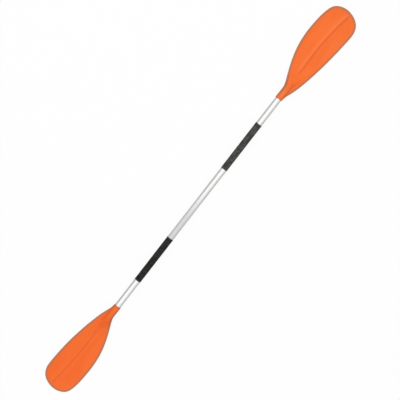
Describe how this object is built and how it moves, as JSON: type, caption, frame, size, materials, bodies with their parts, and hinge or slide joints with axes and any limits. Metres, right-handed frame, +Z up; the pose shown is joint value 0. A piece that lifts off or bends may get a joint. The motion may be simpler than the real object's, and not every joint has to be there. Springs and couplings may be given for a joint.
{
  "type": "kayak paddle",
  "caption": "Double-bladed kayak paddle: orange moulded blades on a take-apart aluminium shaft with rubber grips and a snap-button ferrule.",
  "frame": {"origin": "on the surface that the paddle lies on, under the seam at the middle of the shaft", "axes": "+X along the shaft towards the right blade; +Z up, out of the power faces; +Y across the blades, towards the right blade's curved edge. A half turn about Z swaps the two ends"},
  "size_m": [2.2002, 0.1796, 0.0372],
  "materials": {
    "orange_plastic": "injection-moulded, satin gloss, bright orange",
    "aluminium": "drawn tube, clear anodised, satin",
    "grip_rubber": "matt black, finely textured shrink sleeve",
    "black_nylon": "moulded nylon, matt",
    "steel": "stainless, bright",
    "foam": "closed-cell foam, matt",
    "seal_rubber": "smooth nitrile rubber"
  },
  "bodies": {
    "left_half": {"left_shaft_tube": "aluminium", "left_blade": "orange_plastic", "left_blade_rivet_1": "aluminium", "left_blade_rivet_2": "aluminium", "left_grip": "grip_rubber", "left_tube_plug": "black_nylon", "left_foam_bung": "foam"},
    "seal": {"seal_ring": "seal_rubber"},
    "right_half": {"right_shaft_tube": "aluminium", "right_blade": "orange_plastic", "right_blade_rivet_1": "aluminium", "right_blade_rivet_2": "aluminium", "right_grip": "grip_rubber", "right_tube_plug": "black_nylon", "right_foam_bung": "foam", "ferrule_spigot": "black_nylon", "ferrule_rivet_1": "aluminium", "ferrule_rivet_2": "aluminium", "button_spring": "steel"},
    "button": {"snap_button": "steel"}
  },
  "joints": [
    {"name": "ferrule_pull", "type": "slide", "parent": "left_half", "child": "seal", "axis": [1, 0, 0], "range_m": [0, 0.12], "deforming": ["snap_button"]},
    {"name": "feather_turn", "type": "hinge", "parent": "seal", "child": "right_half", "pos_m": [0, 0, 0.0202], "axis": [1, 0, 0], "range_deg": [-60, 60]},
    {"name": "button_press", "type": "slide", "parent": "right_half", "child": "button", "axis": [0, 0, 1], "range_m": [0, 0.004], "stiffness_N_per_m": 1500, "springref_m": -0.002, "deforming": ["button_spring"]}
  ]
}
